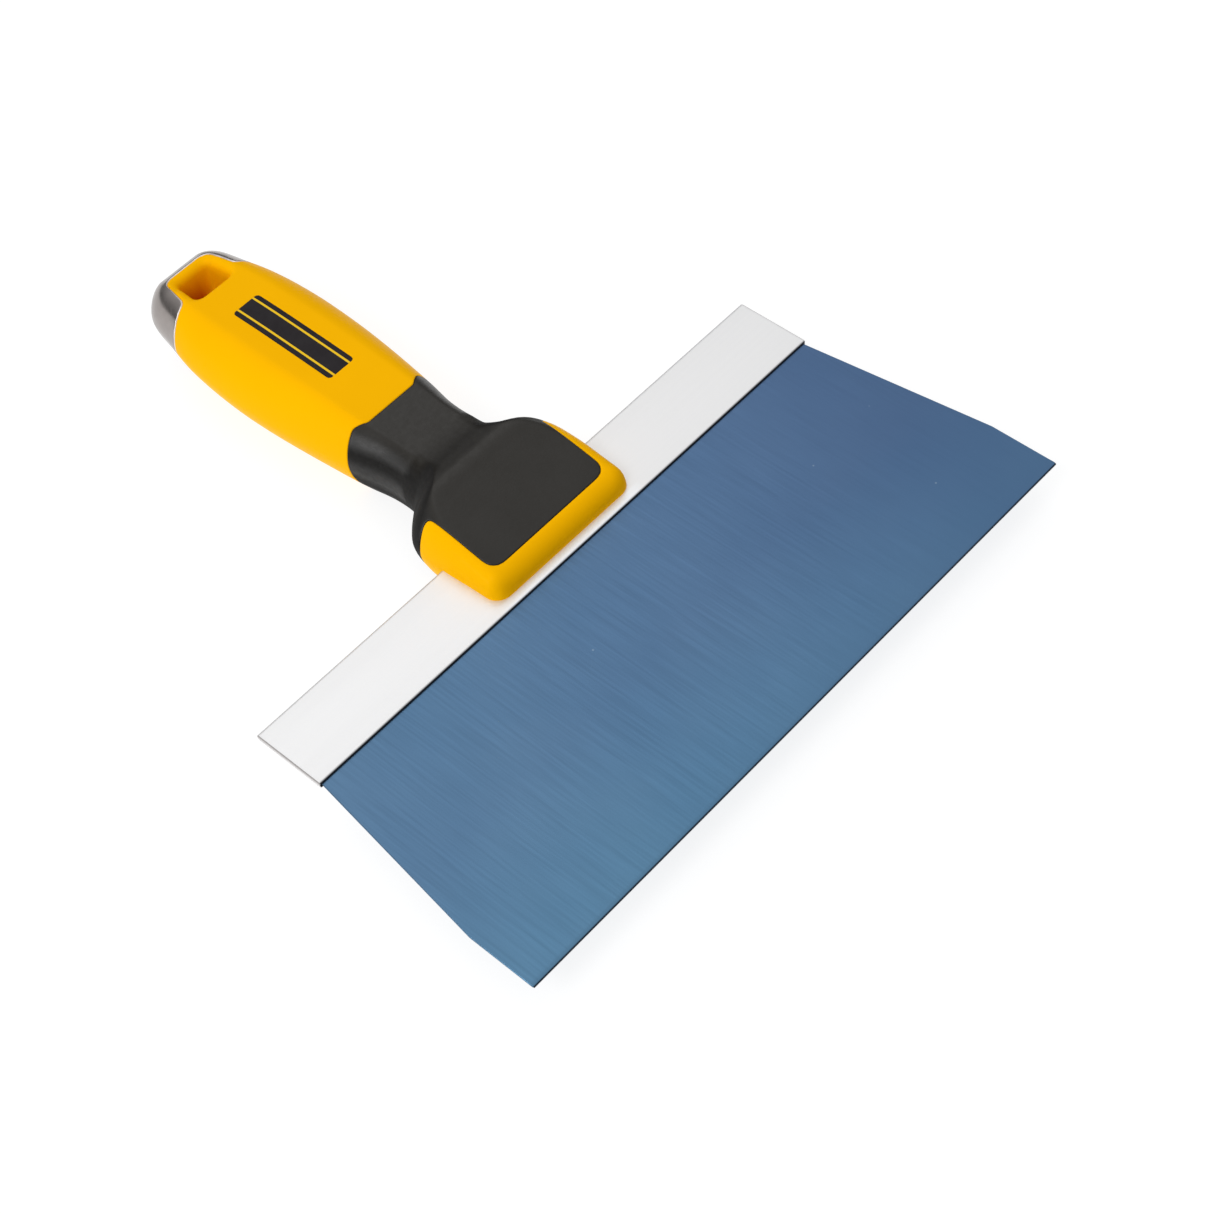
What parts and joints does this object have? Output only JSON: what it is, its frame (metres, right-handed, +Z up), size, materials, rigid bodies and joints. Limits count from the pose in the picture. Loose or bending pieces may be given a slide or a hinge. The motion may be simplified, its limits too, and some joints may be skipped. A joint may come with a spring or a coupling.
{
  "type": "drywall taping knife",
  "caption": "Wide blued steel blade in a folded metal back bar, on a moulded two-tone handle with a soft grip, a hang hole and a metal hammer cap.",
  "frame": {"origin": "on the surface that the knife lies on, below the middle of its bounding box", "axes": "+X along the working edge, +Y from the working edge towards the butt of the handle, +Z up from the surface through the upper face of the blade"},
  "size_m": [0.1524, 0.1808, 0.0213],
  "materials": {
    "blued_steel": "blued spring steel with a satin sheen",
    "bar_aluminium": "pale satin aluminium sheet",
    "plain_steel": "plain mill finish",
    "yellow_plastic": "fine satin moulding",
    "black_rubber": "soft matte overmould",
    "cap_metal": "satin die casting",
    "label_film": "plain matte film, no lettering"
  },
  "bodies": {
    "root": {"blade": "blued_steel", "backing_bar": "bar_aluminium", "tang": "plain_steel", "tang_rivet_1": "plain_steel", "tang_rivet_2": "plain_steel", "tang_rivet_3": "plain_steel", "handle_core": "yellow_plastic", "grip_overmould": "black_rubber", "hammer_cap": "cap_metal", "label_panel": "label_film"}
  },
  "joints": []
}
